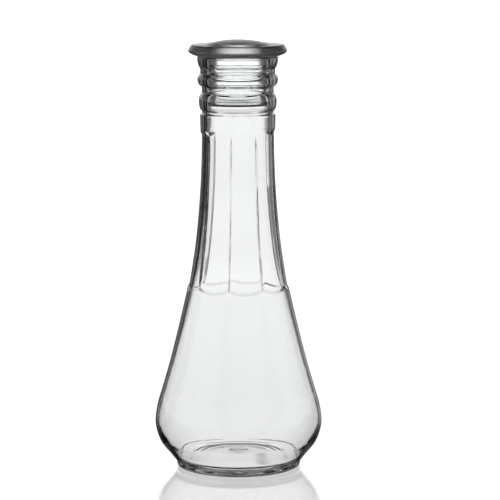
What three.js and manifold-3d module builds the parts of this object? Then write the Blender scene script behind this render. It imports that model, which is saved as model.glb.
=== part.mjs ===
// Stoppered glass decanter: a one-piece bottle with a fluted neck, and a lift-out stopper
// made of a pressed glass head, a clear hollow plug and four soft seal rings.
// Millimetres, +Z up. The origin is the centre of the foot, on the surface it stands on, and
// the front of the decanter is -Y.

import * as THREE from 'three';
import { mergeVertices } from 'three/addons/utils/BufferGeometryUtils.js';
import Module from 'manifold-3d';

const wasm = await Module();
wasm.setup();

// Fits between separate pieces.
const GAP = 0.3;
const TOLERANCE = 0.05;

// Smoothness of the turned surfaces.
const PANELS = 9;
const OUTER_SEGMENTS = PANELS * 6;
const INNER_SEGMENTS = 36;

// Foot and base.
const FOOT_RADIUS = 42;
const FOOT_HEIGHT = 4.4;
const FOOT_ROUNDING = 2.8;
const RESTING_RING_INNER = 33;
const PUSH_UP = 3.2;
const FLOOR_TOP = 9;

// Body and fluted neck.
const BODY_RADIUS = 56.6;
const BODY_WIDEST = 29.5;
const LOWER_LEDGE = 121;
const LOWER_LEDGE_RADIUS = 34.5;
const UPPER_LEDGE = 230.2;
const LEDGE_DEPTH = 0.9;
const LEDGE_HEIGHT = 1.2;
const LOWER_SCALLOP = 2.4;
const UPPER_SCALLOP = 2.2;
const GROOVE_DEPTH = 0.7;
const GROOVE_HALF_ANGLE = THREE.MathUtils.degToRad(4.5);
const GROOVE_FADE = 10;
const FIRST_GROOVE = THREE.MathUtils.degToRad(-10.5);

// Mouth: plain band, three beads and the bore that the stopper fits.
const BAND_RADIUS = 25.3;
const BAND_TOP = 239.6;
const NOTCH_RADIUS = 23.9;
const WAIST_RADIUS = 24.1;
const LIP_GROOVE_RADIUS = 25.1;
const LOWER_BEAD = {
  low: 241.6,
  high: 253.9,
  lowRadius: NOTCH_RADIUS,
  highRadius: WAIST_RADIUS,
  crest: 26.1,
};
const UPPER_BEAD = {
  low: 258,
  high: 266.6,
  lowRadius: WAIST_RADIUS,
  highRadius: LIP_GROOVE_RADIUS,
  crest: 27,
};
const LIP_LOW = 270.2;
const LIP_RADIUS = 27.4;
const LIP_TOP = 278.2;
const BORE_RADIUS = 20.5;
const BORE_LEAD_IN = 0.9;

// Stopper head.
const HEAD_UNDERSIDE = LIP_TOP + GAP;
const HEAD_RADIUS = 33.1;
const HEAD_RIM_TOP = 285.3;
const DOME_RADIUS = 21;
const TOTAL_HEIGHT = 289.2;
const SPIGOT_DEPTH = 2.2;
const SPIGOT_WALL = 2;

// Plug and its seal rings.
const PLUG_RADIUS = 19.7;
const PLUG_WALL = 2.4;
const PLUG_BOTTOM = 246;
const PLUG_FLOOR = 1;
const RING_COUNT = 4;
const RING_PITCH = 6.5;
const TOP_RING_CENTRE = 272.2;
const RING_HEIGHT = 2.6;
const RING_SEAT_DEPTH = 0.9;

const clearGlass = { color: 0xf2f5f5, roughness: 0.03, metalness: 0, transparent: true, opacity: 0.35 };
const satinGlass = { color: 0xc9cccc, roughness: 0.45, metalness: 0, transparent: true, opacity: 0.8 };
const clearPlastic = { color: 0xeef0f0, roughness: 0.12, metalness: 0, transparent: true, opacity: 0.45 };
const softSeal = { color: 0xe2e5e5, roughness: 0.4, metalness: 0, transparent: true, opacity: 0.6 };

function point(radius, height) {
  return new THREE.Vector2(radius, height);
}

// The solid turned about Z from an outline of (radius, height) points.
function turned(outline, segments, phiStart = 0) {
  const distinct = outline.filter((p, i) => i === 0 || p.distanceTo(outline[i - 1]) > 1e-4);
  const geometry = new THREE.LatheGeometry(distinct, segments, phiStart);
  geometry.rotateX(Math.PI / 2);
  geometry.deleteAttribute('normal');
  geometry.deleteAttribute('uv');
  return mergeVertices(geometry, 1e-4);
}

function toManifold(geometry) {
  return new wasm.Manifold(new wasm.Mesh({
    numProp: 3,
    vertProperties: new Float32Array(geometry.getAttribute('position').array),
    triVerts: new Uint32Array(geometry.getIndex().array),
  }));
}

function toGeometry(manifold) {
  const mesh = manifold.getMesh();
  const geometry = new THREE.BufferGeometry();
  geometry.setAttribute('position', new THREE.BufferAttribute(mesh.vertProperties, 3));
  geometry.setIndex(new THREE.BufferAttribute(mesh.triVerts, 1));
  geometry.computeVertexNormals();
  return geometry;
}

function namedMesh(name, geometry, look) {
  const mesh = new THREE.Mesh(geometry, new THREE.MeshStandardMaterial(look));
  mesh.name = name;
  return mesh;
}

// A rounded bead that stands out from the groove radius between two heights.
function bead({ low, high, lowRadius, highRadius, crest }) {
  const bulge = crest + (2 * crest - lowRadius - highRadius) / 6;
  const shoulder = 0.12 * (high - low);
  return new THREE.CubicBezierCurve(
    point(lowRadius, low),
    point(bulge, low + shoulder),
    point(bulge, high - shoulder),
    point(highRadius, high),
  ).getPoints(6);
}

function footOutline() {
  const restingRingOuter = FOOT_RADIUS - FOOT_ROUNDING;
  const pushUp = new THREE.QuadraticBezierCurve(
    point(0, PUSH_UP),
    point(0.6 * RESTING_RING_INNER, PUSH_UP),
    point(RESTING_RING_INNER, 0),
  );
  const heel = new THREE.QuadraticBezierCurve(
    point(restingRingOuter, 0),
    point(FOOT_RADIUS, 0),
    point(FOOT_RADIUS, FOOT_ROUNDING),
  );
  return [...pushUp.getPoints(4), ...heel.getPoints(4), point(FOOT_RADIUS, FOOT_HEIGHT)];
}

function bodyOutline() {
  const bowl = new THREE.SplineCurve([
    point(FOOT_RADIUS + 0.8, FOOT_HEIGHT + 0.4),
    point(46.6, 9.6),
    point(53.2, 18.2),
    point(BODY_RADIUS, BODY_WIDEST),
    point(55.2, 41.5),
    point(51.9, 53),
  ]);
  const cone = new THREE.SplineCurve([
    point(51.9, 53),
    point(46.5, 71.7),
    point(40.8, 94),
    point(36.6, 112),
    point(LOWER_LEDGE_RADIUS, LOWER_LEDGE),
  ]);
  return [...bowl.getPoints(12), ...cone.getPoints(6)];
}

function neckOutline() {
  const flare = new THREE.SplineCurve([
    point(LOWER_LEDGE_RADIUS - LEDGE_DEPTH, LOWER_LEDGE + LEDGE_HEIGHT),
    point(30.9, 137.6),
    point(28.2, 157),
    point(25.9, 182),
    point(24.6, 206),
    point(BAND_RADIUS - LEDGE_DEPTH - 0.2, UPPER_LEDGE - LEDGE_HEIGHT),
  ]);
  return [
    ...flare.getPoints(10),
    point(BAND_RADIUS - 0.2, UPPER_LEDGE),
    point(BAND_RADIUS, 236),
    point(BAND_RADIUS, BAND_TOP),
    point(NOTCH_RADIUS, BAND_TOP + 0.8),
  ];
}

function lipOutline() {
  const side = new THREE.CubicBezierCurve(
    point(LIP_GROOVE_RADIUS, LIP_LOW),
    point(26.4, LIP_LOW + 1),
    point(LIP_RADIUS - 0.6, LIP_LOW + 4),
    point(LIP_RADIUS, LIP_TOP - 1),
  );
  return [...side.getPoints(5), point(LIP_RADIUS - 1, LIP_TOP)];
}

function cavityOutline() {
  const above = LIP_TOP + 5;
  const wall = new THREE.SplineCurve([
    point(36, FLOOR_TOP - 0.2),
    point(45.6, 13.4),
    point(51.8, 21.5),
    point(BODY_RADIUS - 2.5, BODY_WIDEST + 1),
    point(52.6, 42),
    point(49.6, 53),
    point(43.8, 71.7),
    point(37.9, 94),
    point(32.5, 116),
    point(27, 140),
    point(23.6, 165),
    point(21.4, 190),
    point(20.6, 212),
    point(BORE_RADIUS, 232),
  ]);
  return [
    point(0, FLOOR_TOP),
    point(20, FLOOR_TOP - 0.5),
    ...wall.getPoints(22),
    point(BORE_RADIUS, LIP_TOP - BORE_LEAD_IN),
    point(BORE_RADIUS + BORE_LEAD_IN, LIP_TOP),
    point(BORE_RADIUS + BORE_LEAD_IN, above),
    point(0, above),
  ];
}

// The angle to the nearest groove, and how far a ledge is bent there: not at all in the middle
// of a panel, fully at a groove.
function groovePhase(angle) {
  const pitch = (2 * Math.PI) / PANELS;
  const turns = (angle - FIRST_GROOVE) / pitch;
  const fromGroove = Math.abs(turns - Math.round(turns)) * pitch;
  return { fromGroove, bend: (1 - fromGroove / (pitch / 2)) ** 2 };
}

// Sinks a groove between neighbouring panels, and bends both ledges into scallops.
function cutPanels(geometry) {
  const position = geometry.getAttribute('position');
  for (let i = 0; i < position.count; i += 1) {
    const x = position.getX(i);
    const y = position.getY(i);
    const height = position.getZ(i);
    const aboveLower = height - LOWER_LEDGE;
    const belowUpper = UPPER_LEDGE - height;
    if (aboveLower > -TOLERANCE && belowUpper > -TOLERANCE) {
      const { fromGroove, bend } = groovePhase(Math.atan2(x, -y));
      const fromEnd = Math.min(aboveLower, belowUpper);
      const fade = THREE.MathUtils.smoothstep(fromEnd, LEDGE_HEIGHT, GROOVE_FADE);
      const sink = GROOVE_DEPTH * fade * Math.exp(-((fromGroove / GROOVE_HALF_ANGLE) ** 2));
      const scale = 1 - sink / Math.hypot(x, y);
      const scallop = aboveLower < belowUpper ? LOWER_SCALLOP : -UPPER_SCALLOP;
      const shift = fromEnd < LEDGE_HEIGHT + TOLERANCE ? scallop * bend : 0;
      position.setXYZ(i, x * scale, y * scale, height + shift);
    }
  }
  return geometry;
}

function buildBottle() {
  const outline = [
    ...footOutline(),
    ...bodyOutline(),
    ...neckOutline(),
    ...bead(LOWER_BEAD),
    ...bead(UPPER_BEAD),
    ...lipOutline(),
    point(0, LIP_TOP),
  ];
  const outside = toManifold(cutPanels(turned(outline, OUTER_SEGMENTS, FIRST_GROOVE)));
  const cavity = toManifold(turned(cavityOutline(), INNER_SEGMENTS));
  return namedMesh('bottle', toGeometry(outside.subtract(cavity)), clearGlass);
}

function buildStopperHead() {
  const spigotOuter = PLUG_RADIUS - PLUG_WALL - GAP;
  const spigotInner = spigotOuter - SPIGOT_WALL;
  const ceiling = HEAD_RIM_TOP - 1.5;
  const rim = new THREE.SplineCurve([
    point(28, HEAD_UNDERSIDE),
    point(31, HEAD_UNDERSIDE + 1.2),
    point(HEAD_RADIUS, HEAD_UNDERSIDE + 2.9),
    point(32.5, HEAD_UNDERSIDE + 4.6),
    point(31.2, HEAD_RIM_TOP),
  ]);
  const dome = new THREE.QuadraticBezierCurve(
    point(DOME_RADIUS, HEAD_RIM_TOP + 0.6),
    point(0.62 * DOME_RADIUS, TOTAL_HEIGHT),
    point(0, TOTAL_HEIGHT),
  );
  const outline = [
    point(0, ceiling),
    point(spigotInner, ceiling),
    point(spigotInner, HEAD_UNDERSIDE - SPIGOT_DEPTH),
    point(spigotOuter, HEAD_UNDERSIDE - SPIGOT_DEPTH),
    point(spigotOuter, HEAD_UNDERSIDE),
    ...rim.getPoints(8),
    point(DOME_RADIUS + 1, HEAD_RIM_TOP + 0.1),
    ...dome.getPoints(5),
  ];
  return namedMesh('stopper_head', turned(outline, OUTER_SEGMENTS), satinGlass);
}

function ringCentre(index) {
  return TOP_RING_CENTRE - index * RING_PITCH;
}

function buildStopperPlug() {
  const inner = PLUG_RADIUS - PLUG_WALL;
  const outline = [
    point(0, PLUG_BOTTOM),
    point(PLUG_RADIUS - 1, PLUG_BOTTOM),
    point(PLUG_RADIUS, PLUG_BOTTOM + 1),
  ];
  for (let index = RING_COUNT - 1; index >= 0; index -= 1) {
    const low = ringCentre(index) - RING_HEIGHT / 2 - GAP;
    const high = ringCentre(index) + RING_HEIGHT / 2 + GAP;
    outline.push(
      point(PLUG_RADIUS, low),
      point(PLUG_RADIUS - RING_SEAT_DEPTH, low),
      point(PLUG_RADIUS - RING_SEAT_DEPTH, high),
      point(PLUG_RADIUS, high),
    );
  }
  outline.push(
    point(PLUG_RADIUS, LIP_TOP),
    point(inner, LIP_TOP),
    point(inner, PLUG_BOTTOM + PLUG_FLOOR),
    point(0, PLUG_BOTTOM + PLUG_FLOOR),
  );
  return namedMesh('stopper_plug', turned(outline, INNER_SEGMENTS), clearPlastic);
}

function buildSealRing(index) {
  const inner = PLUG_RADIUS - RING_SEAT_DEPTH + GAP;
  const outer = BORE_RADIUS - GAP;
  const low = ringCentre(index) - RING_HEIGHT / 2;
  const high = ringCentre(index) + RING_HEIGHT / 2;
  const nose = 0.7;
  const outline = [
    point(inner, low),
    point(outer - nose, low),
    point(outer, low + nose),
    point(outer, high - nose),
    point(outer - nose, high),
    point(inner, high),
    point(inner, low),
  ];
  return namedMesh(`seal_ring_${index + 1}`, turned(outline, INNER_SEGMENTS), softSeal);
}

const decanter = new THREE.Group();
decanter.add(buildBottle());

const stopper = new THREE.Group();
stopper.add(buildStopperHead(), buildStopperPlug());
for (let index = 0; index < RING_COUNT; index += 1) {
  stopper.add(buildSealRing(index));
}
decanter.add(stopper);

export default decanter;
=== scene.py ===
"""Looks of the stoppered glass decanter: fine glass meshes, clear and satin materials, a white studio.

The frame is the CAD frame: +Z up, origin at the centre of the foot, front towards -Y. Outlines and details
are in millimetres, and turned() makes metres of them.
"""
import math

import bpy
import numpy as np
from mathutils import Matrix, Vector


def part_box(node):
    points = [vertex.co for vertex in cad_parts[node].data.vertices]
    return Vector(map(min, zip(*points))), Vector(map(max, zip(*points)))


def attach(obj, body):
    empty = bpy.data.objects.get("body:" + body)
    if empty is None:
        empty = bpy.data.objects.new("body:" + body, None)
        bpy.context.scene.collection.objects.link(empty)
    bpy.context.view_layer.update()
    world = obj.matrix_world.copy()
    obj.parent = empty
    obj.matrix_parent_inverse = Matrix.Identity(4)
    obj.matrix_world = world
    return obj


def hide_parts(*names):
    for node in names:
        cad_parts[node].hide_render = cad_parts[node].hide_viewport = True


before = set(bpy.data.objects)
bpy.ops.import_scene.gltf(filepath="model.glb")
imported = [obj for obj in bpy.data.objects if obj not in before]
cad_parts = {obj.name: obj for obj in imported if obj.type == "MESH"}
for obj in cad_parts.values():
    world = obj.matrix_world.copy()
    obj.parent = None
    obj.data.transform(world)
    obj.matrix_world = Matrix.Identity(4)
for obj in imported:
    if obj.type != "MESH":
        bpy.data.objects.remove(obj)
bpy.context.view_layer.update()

MM = 0.001

# Driving dimensions, from the frame, in millimetres.
RING_NAMES = sorted(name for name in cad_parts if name.startswith("seal_ring"))
BODY_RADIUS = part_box("bottle")[1].x / MM - 0.15
LIP_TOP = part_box("bottle")[1].z / MM
SPIGOT_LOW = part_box("stopper_head")[0].z / MM
HEAD_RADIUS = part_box("stopper_head")[1].x / MM
HEAD_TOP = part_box("stopper_head")[1].z / MM
PLUG_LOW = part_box("stopper_plug")[0].z / MM
PLUG_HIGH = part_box("stopper_plug")[1].z / MM
PLUG_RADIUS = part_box("stopper_plug")[1].x / MM

# Bottle.
FOOT_RADIUS = 42
BORE_RADIUS = 20.5
PANELS = 9
PANEL_PITCH = 2 * math.pi / PANELS
FIRST_GROOVE = math.radians(-10.5)
COLUMNS_PER_PANEL = 22
LOWER_LEDGE = 121
LOWER_LEDGE_HEIGHT = 2.2
LOWER_SCALLOP = 2.4
UPPER_LEDGE = 230.2
UPPER_LEDGE_HEIGHT = 2.6
UPPER_SCALLOP = 2.2
LEDGE_DEPTH = 0.9
LEDGE_ROW_SPACING = 0.35
GROOVE_DEPTH = 0.6
GROOVE_WIDTH = 1.0
GROOVE_FADE = 9

# Stopper. GAP is what is left between the head and the lip, and between the rings and the bore.
GAP = 0.3
HEAD_RIM_TOP = HEAD_TOP - 3.9
HEAD_CEILING = HEAD_RIM_TOP - 1.5
SPIGOT_OUTER = 17
SPIGOT_INNER = 15
PLUG_WALL = 2.4
PLUG_FLOOR = 1
PLUG_CHAMFER = 0.6
RING_SEAT_DEPTH = 0.7
RING_SEAT_CLEARANCE = 0.2
RING_INNER = 19.1
RING_NOSE = 0.7

# Painted shade along the grooves, the lower ledge, the rim of the head and the rings, and dark marks in the
# base: widths in millimetres, and darkness from 0 to 1.
GROOVE_LINE_WIDTH = 0.45
LEDGE_LINE_WIDTH = 0.5
LEDGE_LINE_DARKNESS = 0.13
RIM_LINE_WIDTH = 0.7
RIM_LINE_FROM = 29.8
RIM_LINE_FULL = 30.4
RING_LINE_WIDTH = 0.45
BASE_SPOT_DARKNESS = 0.8
BASE_PATCH_DARKNESS = 0.9
BASE_MARKS_BELOW = 9

# What the glass reflects of the studio: degrees from +Y towards +X, and brightness.
FLAGS = [
    (-180, 0.03), (-150, 0.005), (-50, 0.005), (-46, 0.12), (-42, 0.01), (-30, 0.01), (-26, 0.35),
    (-22, 0.03), (-15, 0.03), (-11, 0.35), (-7, 0.04), (0, 0.03), (5, 0.05), (10, 0.3), (24, 0.3),
    (29, 0.02), (37, 0.2), (47, 0.2), (52, 0.005), (150, 0.005), (180, 0.03),
]
# Grey cards seen straight through the glass, the same in each quarter turn: degrees, and brightness.
CARDS = [(0, 1.0), (50, 1.0), (54, 0.35), (67, 0.4), (75, 1.0), (90, 1.0)]
# Dark boards on both sides of +Y, seen straight through the glass just below level: degrees, brightness.
BOARDS = [(0, 1.0), (14, 1.0), (26, 0.12), (60, 0.12), (70, 1.0), (180, 1.0)]
# Brightness of the white that shows straight through the glass, low down, higher up and past the stopper.
WHITE_LOW = 0.94
WHITE_HIGH = 1.07
WHITE_BEHIND_STOPPER = 1.55
# Brightness of the white that the outside of the glass mirrors: off the table, from above, from above at +Y.
WHITE_OFF_TABLE = 1.6
WHITE_ABOVE = 0.5
WHITE_ABOVE_AHEAD = 1.3

# Table and camera, in metres and degrees.
SHEET_HALF = 6.0
FILM_UNDER_FOOT = 0.0001
TABLE_UNDER_FOOT = 0.0002
TABLE_GLOW = 0.8
CAMERA_PLACE = (0.0084, -1.669, 0.385)
CAMERA_DOWN = 8.1
CAMERA_ROLL = 0.1
CAMERA_LENS = 180
CAMERA_SENSOR = 36


# ---------------------------------------------------------------- outlines

def spline(points, steps):
    """Points along a Catmull-Rom spline through the given (radius, height) points."""
    p = np.array(points, float)
    p = np.vstack([2 * p[0] - p[1], p, 2 * p[-1] - p[-2]])
    out = []
    for i in range(len(points) - 1):
        a, b, c, d = p[i:i + 4]
        for t in np.arange(steps) / steps:
            out.append(0.5 * (2 * b + (c - a) * t + (2 * a - 5 * b + 4 * c - d) * t**2
                              + (3 * b - a - 3 * c + d) * t**3))
    return out + [np.array(points[-1], float)]


def bezier(points, steps):
    """Points along a quadratic or cubic Bezier curve."""
    p = np.array(points, float)
    n = len(p) - 1
    return [sum(math.comb(n, k) * t**k * (1 - t)**(n - k) * p[k] for k in range(n + 1))
            for t in np.linspace(0, 1, steps + 1)]


def bead(low, high, low_radius, high_radius, crest):
    """A rounded bead between two grooves of the mouth."""
    bulge = crest + (2 * crest - low_radius - high_radius) / 6
    shoulder = 0.12 * (high - low)
    corners = [(low_radius, low), (bulge, low + shoulder), (bulge, high - shoulder), (high_radius, high)]
    return bezier(corners, 24)


def rounded(points, radius, step=0.1):
    """The outline in steps of about that length, its corners softened over the radius, its ends kept."""
    p = np.array(points, float)
    keep = np.r_[True, np.hypot(*np.diff(p, axis=0).T) > 1e-6]
    p = p[keep]
    along = np.r_[0, np.cumsum(np.hypot(*np.diff(p, axis=0).T))]
    s = np.arange(0, along[-1] + step / 2, step)
    dense = np.column_stack([np.interp(s, along, p[:, k]) for k in (0, 1)])
    reach = int(3 * radius / step)
    window = np.exp(-0.5 * (np.arange(-reach, reach + 1) * step / radius) ** 2)
    window /= window.sum()
    ends = [2 * dense[0] - dense[reach:0:-1], 2 * dense[-1] - dense[-2:-reach - 2:-1]]
    padded = np.vstack([ends[0], dense, ends[1]])
    soft = np.column_stack([np.convolve(padded[:, k], window, "valid") for k in (0, 1)])
    soft[0], soft[-1] = dense[0], dense[-1]
    return soft


def thinned(outline, turn, longest, fine=()):
    """Fewer points: one for each turn of that many degrees or that length, and closely in fine heights."""
    kept = [outline[0]]
    heading, turned_by, gone = None, 0.0, 0.0
    for a, b in zip(outline[:-1], outline[1:]):
        step = b - a
        angle = math.atan2(step[1], step[0])
        if heading is not None:
            turned_by += abs((angle - heading + math.pi) % (2 * math.pi) - math.pi)
        heading = angle
        gone += float(np.hypot(*step))
        limit = longest
        if any(low < b[1] < high for low, high in fine):
            limit = LEDGE_ROW_SPACING
        if turned_by > math.radians(turn) or gone > limit:
            kept.append(b)
            turned_by, gone = 0.0, 0.0
    if np.hypot(*(kept[-1] - outline[-1])) > 1e-6:
        kept.append(outline[-1])
    return np.array(kept)


def bottle_outside():
    """From the centre of the underside round the foot and up the outside to the lip."""
    foot = FOOT_RADIUS
    return [
        (0, 4.1), (3, 4.05), (5.5, 3.5), (7, 3.1),
        *bezier([(9, 3.15), (20, 3.1), (33, 0)], 20),
        *bezier([(foot - 2.8, 0), (foot, 0), (foot, 2.8)], 10),
        (foot, 4.4),
        *spline([(foot + 0.8, 4.8), (46.6, 9.6), (53.2, 18.2), (BODY_RADIUS, 29.5), (55.2, 41.5),
                 (51.9, 53), (46.5, 71.7), (40.8, 94), (36.6, 112), (34.5, LOWER_LEDGE)], 20),
        *spline([(34.1, 123.4), (31.8, 137.6), (29.1, 157), (26.8, 182), (25.5, 206), (25.1, 229)], 16),
        (25.3, 236), (25.3, 239.6), (23.9, 240.4),
        *bead(241.6, 253.9, 23.9, 24.1, 26.1),
        *bead(258, 266.6, 24.1, 25.1, 27),
        *bezier([(25.1, 270.2), (26.4, 271.2), (26.8, 274.2), (27.4, LIP_TOP - 1)], 10),
        (26.4, LIP_TOP),
    ]


def bottle_inside():
    """From the lip down the bore and the cavity to the middle of its floor."""
    bore = BORE_RADIUS
    wall = spline([(36.5, 6.6), (41, 7.8), (44.8, 12), (50.9, 20), (54.1, 30.2), (52.7, 42),
                   (49.5, 53), (44, 71.7), (38, 94), (32.5, 116), (27, 140), (23.6, 165),
                   (21.4, 190), (20.6, 212), (bore, 232)], 16)
    floor = bezier([(34, 6.5), (20, 7.8), (0, 7.8)], 12)
    return [(bore + 0.9, LIP_TOP), (bore, LIP_TOP - 0.9), *reversed(wall), *floor]


def bottle_outline():
    soft = rounded(bottle_outside() + bottle_inside(), 0.35)
    ledges = [(LOWER_LEDGE - 1, LOWER_LEDGE + 5), (UPPER_LEDGE - 5, UPPER_LEDGE + 1)]
    return thinned(soft, 4, 2.5, ledges)


# ---------------------------------------------------------------- meshes

def smoothstep(low, high, x):
    t = np.clip((x - low) / (high - low), 0, 1)
    return t * t * (3 - 2 * t)


def hump(x, width):
    """1 at zero, falling off like a bell over that width."""
    return np.exp(-((x / width) ** 2))


def panel_angles():
    """Angles round the neck, closer together at the grooves."""
    u = np.arange(PANELS * COLUMNS_PER_PANEL) / COLUMNS_PER_PANEL
    closer = 0.7 * np.sin(2 * np.pi * u) / (2 * np.pi)
    return FIRST_GROOVE + (u - closer) * PANEL_PITCH


def even_angles(count):
    return np.arange(count) * 2 * np.pi / count


def nearest_groove(angle):
    """The number of the nearest groove, and how far off it is in panel widths."""
    turns = (angle - FIRST_GROOVE) / PANEL_PITCH
    number = np.round(turns)
    return number, np.abs(turns - number)


def pressed_panels(radius, height, angle):
    """How far the panels and the grooves between them lie below the round outer surface."""
    _, off = nearest_groove(angle)
    bend = (1 - 2 * off) ** 2
    low = LOWER_LEDGE + LOWER_SCALLOP * bend
    high = UPPER_LEDGE - UPPER_SCALLOP * bend
    above_low = smoothstep(low, low + LOWER_LEDGE_HEIGHT, height)
    below_high = smoothstep(high, high - UPPER_LEDGE_HEIGHT, height)
    fade = smoothstep(0, GROOVE_FADE, height - low) * smoothstep(0, GROOVE_FADE, high - height)
    groove = hump(off * PANEL_PITCH * radius, GROOVE_WIDTH)
    return LEDGE_DEPTH * above_low * below_high + GROOVE_DEPTH * fade * groove


def wall_faces(rows, columns, closed):
    """Four-sided faces between rows of points, and from the last row to the first if it is closed."""
    faces = []
    for j in range(rows if closed else rows - 1):
        k = (j + 1) % rows
        for i in range(columns):
            n = (i + 1) % columns
            faces.append((j * columns + i, j * columns + n, k * columns + n, k * columns + i))
    return faces


def pole_faces(rows, columns):
    """Three-sided faces from the first and the last row to the two poles."""
    low_pole = rows * columns
    top = (rows - 1) * columns
    faces = []
    for i in range(columns):
        n = (i + 1) % columns
        faces.append((n, i, low_pole))
        faces.append((top + i, top + n, low_pole + 1))
    return faces


def turned(name, outline, angles, shape=None, lines=None):
    """A closed mesh turned about Z from an outline that starts and ends on the axis, or closes on itself.

    shape gives how far each point is pressed in, and lines how dark the material is there.
    """
    outline = np.array(outline)
    on_axis = outline[0][0] < 1e-4
    ring = outline[1:-1] if on_axis else outline[:-1]
    rows, columns = len(ring), len(angles)
    radius = np.repeat(ring[:, :1], columns, axis=1)
    height = np.repeat(ring[:, 1:], columns, axis=1)
    angle = np.repeat(angles[None, :], rows, axis=0)
    if shape is not None:
        radius = radius - shape(radius, height, angle)
    shade = lines(radius, height, angle).ravel()
    points = np.stack([radius * np.sin(angle), -radius * np.cos(angle), height], axis=-1).reshape(-1, 3)
    faces = wall_faces(rows, columns, closed=not on_axis)
    if on_axis:
        points = np.vstack([points, [0, 0, outline[0][1]], [0, 0, outline[-1][1]]])
        faces += pole_faces(rows, columns)
        shade = np.append(shade, [0, 0])
    mesh = bpy.data.meshes.new(name)
    mesh.from_pydata((points * MM).tolist(), [], faces)
    mesh.polygons.foreach_set("use_smooth", [True] * len(mesh.polygons))
    mesh.attributes.new("line", "FLOAT", "POINT").data.foreach_set("value", shade)
    mesh.update()
    piece = bpy.data.objects.new(name, mesh)
    bpy.context.scene.collection.objects.link(piece)
    return piece


def painted_groove_shade(radius, height, angle):
    """Painted shade along the middle of each groove, with weaker places, and faint painted shade along the
    lower ledge.
    """
    number, off = nearest_groove(angle)
    ends = smoothstep(LOWER_LEDGE + 2.5, LOWER_LEDGE + 4, height)
    ends = ends * smoothstep(UPPER_LEDGE - 3, UPPER_LEDGE - 8, height)
    which = number % PANELS
    uneven = np.sin(0.31 * height + 2.1 * which) + 0.6 * np.sin(0.83 * height + 1.3 * which)
    strong = 1 - 0.75 * hump(height - 190 - 6 * np.sin(2.4 * which), 14)
    groove = hump(off * PANEL_PITCH * radius, GROOVE_LINE_WIDTH)
    groove = groove * ends * strong * np.clip(0.85 + 0.2 * uneven, 0, 1)
    ledge = LOWER_LEDGE + LOWER_SCALLOP * (1 - 2 * off) ** 2 + 0.3 * LOWER_LEDGE_HEIGHT
    return np.maximum(groove, LEDGE_LINE_DARKNESS * hump(height - ledge, LEDGE_LINE_WIDTH))


def base_marks(radius, height, angle):
    """A dark spot in the middle of the base, and a dark patch beside it."""
    x = radius * np.sin(angle)
    y = -radius * np.cos(angle)
    spot = hump(x, 6) * hump(y + 2, 8) * (0.75 + 0.25 * np.sin(1.1 * x + 0.8 * y))
    patch = hump(x - 16, 4) * hump(y + 17, 7) * (0.7 + 0.3 * np.sin(1.9 * x) * np.sin(0.9 * y))
    marks = BASE_SPOT_DARKNESS * spot + BASE_PATCH_DARKNESS * patch
    return np.where(height < BASE_MARKS_BELOW, marks, 0)


def build_bottle():
    outline = bottle_outline()
    # The first point of the outline is a pole, so the rows start one point later.
    first_inside_row = int(np.argmax(outline[:, 1])) - 1

    def shape(radius, height, angle):
        below = pressed_panels(radius, height, angle)
        below[first_inside_row:] = 0
        return below

    # Painted shade along the grooves and the lower ledge outside, and the dark marks in the base.
    def lines(radius, height, angle):
        dark = painted_groove_shade(radius, height, angle)
        dark[first_inside_row:] = 0
        return dark + base_marks(radius, height, angle)

    return turned("decanter_bottle", outline, panel_angles(), shape, lines)


def build_head():
    seat = LIP_TOP + GAP
    rim_top = HEAD_RIM_TOP
    outline = [
        (0, HEAD_CEILING), (SPIGOT_INNER, HEAD_CEILING), (SPIGOT_INNER, SPIGOT_LOW),
        (SPIGOT_OUTER, SPIGOT_LOW), (SPIGOT_OUTER, seat),
        *spline([(28, seat), (31, seat + 1.2), (HEAD_RADIUS, seat + 2.9), (32.6, seat + 4.8),
                 (31.1, rim_top + 0.4)], 10),
        (30.2, rim_top + 0.6), (28.6, rim_top + 0.2), (22, rim_top + 0.1),
        *bezier([(21, rim_top + 0.6), (13, HEAD_TOP), (0, HEAD_TOP)], 24),
    ]
    soft = thinned(rounded(outline, 0.3), 5, 1.5, [(rim_top - 1, rim_top + 0.8)])

    # Painted shade: a dark line along the top of the rim, towards its outer edge.
    def lines(radius, height, angle):
        outer_edge = smoothstep(RIM_LINE_FROM, RIM_LINE_FULL, radius)
        return hump(height - rim_top - 0.3, RIM_LINE_WIDTH) * outer_edge

    return turned("decanter_stopper_head", soft, even_angles(180), None, lines)


def ring_heights(name):
    low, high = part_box(name)
    return low.z / MM, high.z / MM


def build_plug():
    low = PLUG_LOW
    r = PLUG_RADIUS
    inner = r - PLUG_WALL
    floor = low + PLUG_FLOOR
    outline = [(0, low), (r - PLUG_CHAMFER, low), (r, low + PLUG_CHAMFER)]
    for name in reversed(RING_NAMES):
        seat_low, seat_high = ring_heights(name)
        seat_low -= RING_SEAT_CLEARANCE
        seat_high += RING_SEAT_CLEARANCE
        seat = r - RING_SEAT_DEPTH
        outline += [(r, seat_low), (seat, seat_low), (seat, seat_high), (r, seat_high)]
    outline += [(r, PLUG_HIGH), (inner, PLUG_HIGH), (inner, floor), (0, floor)]
    soft = thinned(rounded(outline, 0.12), 6, 2)

    # Painted shade: a dark band round the lower outer edge of the plug, below its floor.
    def lines(radius, height, angle):
        return smoothstep(floor + 0.1, floor - 0.4, height) * smoothstep(r - 1.1, r - 0.7, radius)

    return turned("decanter_plug", soft, even_angles(144), None, lines)


def build_ring(name):
    low, high = ring_heights(name)
    inner = RING_INNER
    outer = BORE_RADIUS - GAP
    nose = RING_NOSE
    outline = [(inner, low), (outer - nose, low), (outer, low + nose), (outer, high - nose),
               (outer - nose, high), (inner, high), (inner, low)]
    soft = thinned(rounded(outline, 0.12), 8, 2)
    soft[-1] = soft[0]

    # Painted shade: a dark line round the middle of the ring's outer face.
    def lines(radius, height, angle):
        outer_face = smoothstep(outer - 0.6, outer - 0.3, radius)
        return hump(height - (low + high) / 2, RING_LINE_WIDTH) * outer_face

    return turned("decanter_" + name, soft, even_angles(144), None, lines)


# ---------------------------------------------------------------- materials

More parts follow.
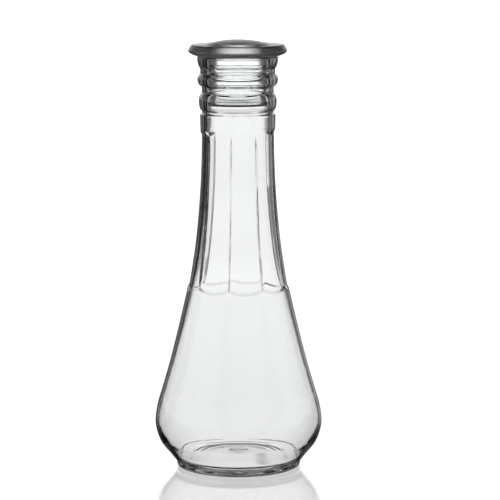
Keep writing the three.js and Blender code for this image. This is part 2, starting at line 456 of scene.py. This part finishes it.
class Nodes:
    """A material or world node tree with short calls for making and joining nodes."""

    def __init__(self, owner):
        owner.use_nodes = True
        self.tree = owner.node_tree
        self.tree.nodes.clear()

    def add(self, kind, inputs=(), **settings):
        node = self.tree.nodes.new(kind)
        for key, value in settings.items():
            setattr(node, key, value)
        for key, value in dict(inputs).items():
            if isinstance(value, bpy.types.NodeSocket):
                self.tree.links.new(value, node.inputs[key])
            else:
                node.inputs[key].default_value = value
        return node

    def math(self, operation, a, b=0.0, c=0.0):
        return self.add("ShaderNodeMath", {0: a, 1: b, 2: c}, operation=operation).outputs[0]

    def noise(self, place, scale, detail):
        inputs = {"Vector": place, "Scale": scale, "Detail": detail}
        return self.add("ShaderNodeTexNoise", inputs).outputs["Fac"]

    def remap(self, value, low, high, at_low, at_high):
        """The value moved from low..high to at_low..at_high, and held at those ends."""
        inputs = {"Value": value, "From Min": low, "From Max": high, "To Min": at_low, "To Max": at_high}
        return self.add("ShaderNodeMapRange", inputs).outputs["Result"]

    def mixed(self, factor, first, second):
        """The first number where the factor is 0 and the second where it is 1."""
        return self.add("ShaderNodeMix", {0: factor, 2: first, 3: second}).outputs[0]

    def mixed_colour(self, factor, first, second):
        inputs = {0: factor, 6: first, 7: second}
        return self.add("ShaderNodeMix", inputs, data_type="RGBA").outputs[2]

    def darkened(self, colour, shade):
        """The colour, going to a grey of that shade along the mesh's line attribute: painted shade along
        grooves, ledge, rim, plug and rings, and the dark marks in the base.
        """
        line = self.add("ShaderNodeAttribute", attribute_name="line").outputs["Fac"]
        return self.mixed_colour(line, colour, (shade, shade, shade, 1))

    def glass_output(self, colour, roughness, ior, bump, absorb, density):
        """Clear glass with that bump, and a little absorption inside."""
        surface = self.add("ShaderNodeBsdfPrincipled", {
            "Base Color": colour, "Roughness": roughness, "IOR": ior, "Transmission Weight": 1.0,
            "Normal": bump.outputs["Normal"]}).outputs["BSDF"]
        volume = self.add("ShaderNodeVolumeAbsorption", {"Color": absorb, "Density": density})
        self.add("ShaderNodeOutputMaterial", {"Surface": surface, "Volume": volume.outputs["Volume"]})


def clear_material(name, colour, ior, roughness, haze, wave_scale, wave_height, absorb, density, line_shade):
    """Clear glass or plastic: slow waves and fine haze from noise, and painted shade and dark marks in the
    grey line_shade.
    """
    material = bpy.data.materials.new(name)
    n = Nodes(material)
    place = n.add("ShaderNodeTexCoord").outputs["Object"]
    waves = n.noise(place, wave_scale, 2.0)
    smears = n.noise(place, 5 * wave_scale, 4.0)
    rough = n.remap(smears, 0.45, 0.75, roughness, haze)
    bump = n.add("ShaderNodeBump", {"Height": waves, "Strength": 1.0, "Distance": wave_height})
    n.glass_output(n.darkened(colour, line_shade), rough, ior, bump, absorb, density)
    return material


def satin_material():
    """Pressed glass with a fine upright grain that scatters what shows through it."""
    material = bpy.data.materials.new("satin_pressed_glass")
    n = Nodes(material)
    place = n.add("ShaderNodeTexCoord").outputs["Object"]
    upright = n.add("ShaderNodeMapping", {"Vector": place, "Scale": (1.0, 1.0, 0.3)}).outputs["Vector"]
    grain = n.noise(upright, 1100.0, 3.0)
    bump = n.add("ShaderNodeBump", {"Height": grain, "Strength": 1.0, "Distance": 0.00006})
    rough = n.remap(grain, 0.0, 1.0, 0.25, 0.42)
    speck = n.remap(grain, 0.35, 0.65, 0.0, 1.0)
    satin = n.mixed_colour(speck, (0.8, 0.81, 0.81, 1), (1, 1, 1, 1))
    # Along the rim's line the colour goes to black: painted shade.
    n.glass_output(n.darkened(satin, 0.0), rough, 1.5, bump, (0.6, 0.62, 0.62, 1), 3.0)
    return material


# ---------------------------------------------------------------- studio

def grey_ramp(n, place, stops, start, end):
    """A grey level through the (degrees, level) stops, where place is 0 at start and 1 at end."""
    node = n.add("ShaderNodeValToRGB", {"Fac": place})
    ramp = node.color_ramp
    ramp.elements.remove(ramp.elements[1])
    ramp.elements[0].position = 0
    for degrees, level in stops[1:]:
        element = ramp.elements.new(min((degrees - start) / (end - start), 1.0))
        element.color = (level, level, level, 1)
    first = stops[0][1]
    ramp.elements[0].color = (first, first, first, 1)
    return node.outputs["Color"]


def is_mirrored_sky(n, path, rise):
    """1 for light that came down from above onto the outside of something shiny, else 0."""
    outside = n.math("LESS_THAN", path["Transmission Depth"], 0.5)
    reflected = n.math("GREATER_THAN", path["Glossy Depth"], 0.5)
    from_above = n.math("GREATER_THAN", rise, 0.0)
    return n.math("MULTIPLY", n.math("MULTIPLY", outside, reflected), from_above)


def is_from_flags(n, path):
    """1 for light that the glass reflected, unless it crossed just two walls, else 0."""
    reflected = n.math("GREATER_THAN", path["Glossy Depth"], 0.5)
    over_three = n.math("GREATER_THAN", path["Transmission Depth"], 3.5)
    under_five = n.math("LESS_THAN", path["Transmission Depth"], 4.5)
    two_walls = n.math("MULTIPLY", over_three, under_five)
    return n.math("MULTIPLY", reflected, n.math("SUBTRACT", 1.0, two_walls))


def straight_light(n, path, around, aside, rise):
    """White behind everything, and between cards and boards where it is seen through glass."""
    quarter = n.math("FRACT", n.math("MULTIPLY", around, 4.0))
    cards = grey_ramp(n, quarter, CARDS, 0, 90)
    half_turn = n.math("DIVIDE", aside, math.pi)
    just_below_level = n.remap(rise, -0.091, -0.085, 0.0, 1.0)
    boards = n.mixed(just_below_level, 1.0, grey_ramp(n, half_turn, BOARDS, 0, 180))
    through_glass = n.math("GREATER_THAN", path["Transmission Depth"], 0.5)
    through_stopper = n.math("GREATER_THAN", path["Transmission Depth"], 4.5)
    white = n.remap(rise, -0.2, -0.08, WHITE_LOW, WHITE_HIGH)
    white = n.mixed(through_stopper, white, WHITE_BEHIND_STOPPER)
    behind = n.math("MULTIPLY", n.math("MULTIPLY", cards, white), boards)
    return n.mixed(through_glass, 1.0, behind)


def flag_light(n, around, rise):
    """The dark flags and the soft strips between them, fading to dark upwards and downwards."""
    flags = grey_ramp(n, around, FLAGS, -180, 180)
    level = n.remap(n.math("ABSOLUTE", rise), 0.15, 0.45, 1.0, 0.1)
    return n.math("MULTIPLY", flags, level)


def sky_light(n, path, aside, rise):
    """A soft white above, brightest ahead, and a bright white that reaches the glass off the table."""
    ceiling = n.remap(rise, 0.25, 0.45, 1.0, 0.1)
    ahead = n.remap(aside, math.radians(25), math.radians(40), WHITE_ABOVE_AHEAD, WHITE_ABOVE)
    crossed_film = n.math("GREATER_THAN", path["Transparent Depth"], 0.5)
    return n.mixed(crossed_film, n.math("MULTIPLY", ceiling, ahead), WHITE_OFF_TABLE)


def build_world():
    """White all round, except for what the glass reflects and what is seen through it."""
    world = bpy.data.worlds.new("studio")
    world.cycles.sampling_method = "NONE"
    bpy.context.scene.world = world
    n = Nodes(world)
    path = n.add("ShaderNodeLightPath").outputs
    direction = n.add("ShaderNodeTexCoord").outputs["Generated"]
    parts = n.add("ShaderNodeSeparateXYZ", {"Vector": direction}).outputs
    rise = parts["Z"]
    turn = n.math("ARCTAN2", parts["X"], parts["Y"])
    aside = n.math("ABSOLUTE", turn)
    around = n.math("MULTIPLY_ADD", turn, 1 / (2 * math.pi), 0.5)
    straight = straight_light(n, path, around, aside, rise)
    strength = n.mixed(is_from_flags(n, path), straight, flag_light(n, around, rise))
    strength = n.mixed(is_mirrored_sky(n, path, rise), strength, sky_light(n, path, aside, rise))
    shade = n.add("ShaderNodeBackground", {"Color": (1, 1, 1, 1), "Strength": strength})
    n.add("ShaderNodeOutputWorld", {"Surface": shade.outputs["Background"]})


def flat_sheet(name, under, material):
    """A wide level sheet that far below the foot."""
    mesh = bpy.data.meshes.new(name)
    corners = [(-1, -1), (1, -1), (1, 1), (-1, 1)]
    points = [(x * SHEET_HALF, y * SHEET_HALF, -under) for x, y in corners]
    mesh.from_pydata(points, [], [(0, 1, 2, 3)])
    mesh.materials.append(material)
    sheet = bpy.data.objects.new(name, mesh)
    bpy.context.scene.collection.objects.link(sheet)


def film_material():
    film = bpy.data.materials.new("clear_film")
    n = Nodes(film)
    clear = n.add("ShaderNodeBsdfTransparent").outputs["BSDF"]
    n.add("ShaderNodeOutputMaterial", {"Surface": clear})
    return film


def table_material():
    """Glowing white with a glossy face where it is seen directly, and clear to all other light."""
    table = bpy.data.materials.new("white_table")
    table.cycles.emission_sampling = "NONE"
    n = Nodes(table)
    place = n.add("ShaderNodeTexCoord").outputs["Object"]
    rough = n.remap(n.noise(place, 3.0, 3.0), 0.0, 1.0, 0.04, 0.09)
    gloss = n.add("ShaderNodeBsdfGlossy", {"Color": (1, 1, 1, 1), "Roughness": rough}).outputs["BSDF"]
    lit = n.add("ShaderNodeEmission", {"Color": (1, 1, 1, 1), "Strength": TABLE_GLOW}).outputs["Emission"]
    clear = n.add("ShaderNodeBsdfTransparent").outputs["BSDF"]
    seen = n.add("ShaderNodeLightPath").outputs["Is Camera Ray"]
    mirrored = n.math("MULTIPLY", n.add("ShaderNodeFresnel", {"IOR": 1.7}).outputs["Fac"], seen)
    face = n.add("ShaderNodeMixShader", {0: mirrored, 1: lit, 2: gloss}).outputs["Shader"]
    unseen = n.math("SUBTRACT", 1.0, seen)
    both = n.add("ShaderNodeMixShader", {0: unseen, 1: face, 2: clear}).outputs["Shader"]
    n.add("ShaderNodeOutputMaterial", {"Surface": both})
    return table


def build_floor():
    """A white table top under a clear film. The film marks the light that comes off the table."""
    flat_sheet("table_film", FILM_UNDER_FOOT, film_material())
    flat_sheet("table_top", TABLE_UNDER_FOOT, table_material())


def build_camera():
    """A long lens, a little above the body and pointing slightly down."""
    data = bpy.data.cameras.new("camera")
    data.lens = CAMERA_LENS
    data.sensor_width = CAMERA_SENSOR
    data.clip_start = 0.05
    data.clip_end = 60
    camera = bpy.data.objects.new("camera", data)
    camera.location = CAMERA_PLACE
    camera.rotation_euler = (math.radians(90 - CAMERA_DOWN), math.radians(CAMERA_ROLL), 0)
    bpy.context.scene.collection.objects.link(camera)
    bpy.context.scene.camera = camera


# ---------------------------------------------------------------- assembly

def finish_piece(piece, node, body, material):
    piece.data.materials.append(material)
    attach(piece, body)
    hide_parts(node)


build_camera()
build_world()
build_floor()

# line_shade is the grey of each mesh's painted shade lines, and of the dark marks in the bottle's base.
glass = clear_material(
    "clear_bottle_glass", colour=(0.985, 0.99, 0.99, 1), ior=1.5, roughness=0.0, haze=0.02,
    wave_scale=60.0, wave_height=0.00005, absorb=(0.5, 0.52, 0.52, 1), density=3.0, line_shade=0.0)
plastic = clear_material(
    "clear_plug_plastic", colour=(0.98, 0.985, 0.985, 1), ior=1.45, roughness=0.0, haze=0.03,
    wave_scale=40.0, wave_height=0.00001, absorb=(0.6, 0.62, 0.62, 1), density=3.0, line_shade=0.02)
silicone = clear_material(
    "seal_silicone", colour=(0.97, 0.975, 0.975, 1), ior=1.2, roughness=0.02, haze=0.08,
    wave_scale=60.0, wave_height=0.00001, absorb=(0.4, 0.42, 0.42, 1), density=60.0, line_shade=0.4)
satin_glass = satin_material()

finish_piece(build_bottle(), "bottle", "bottle", glass)
finish_piece(build_head(), "stopper_head", "stopper", satin_glass)
finish_piece(build_plug(), "stopper_plug", "stopper", plastic)
for ring_name in RING_NAMES:
    finish_piece(build_ring(ring_name), ring_name, "stopper", silicone)

scene = bpy.context.scene
scene.view_settings.view_transform = "Standard"
scene.cycles.max_bounces = 32
scene.cycles.transmission_bounces = 32
scene.cycles.glossy_bounces = 16
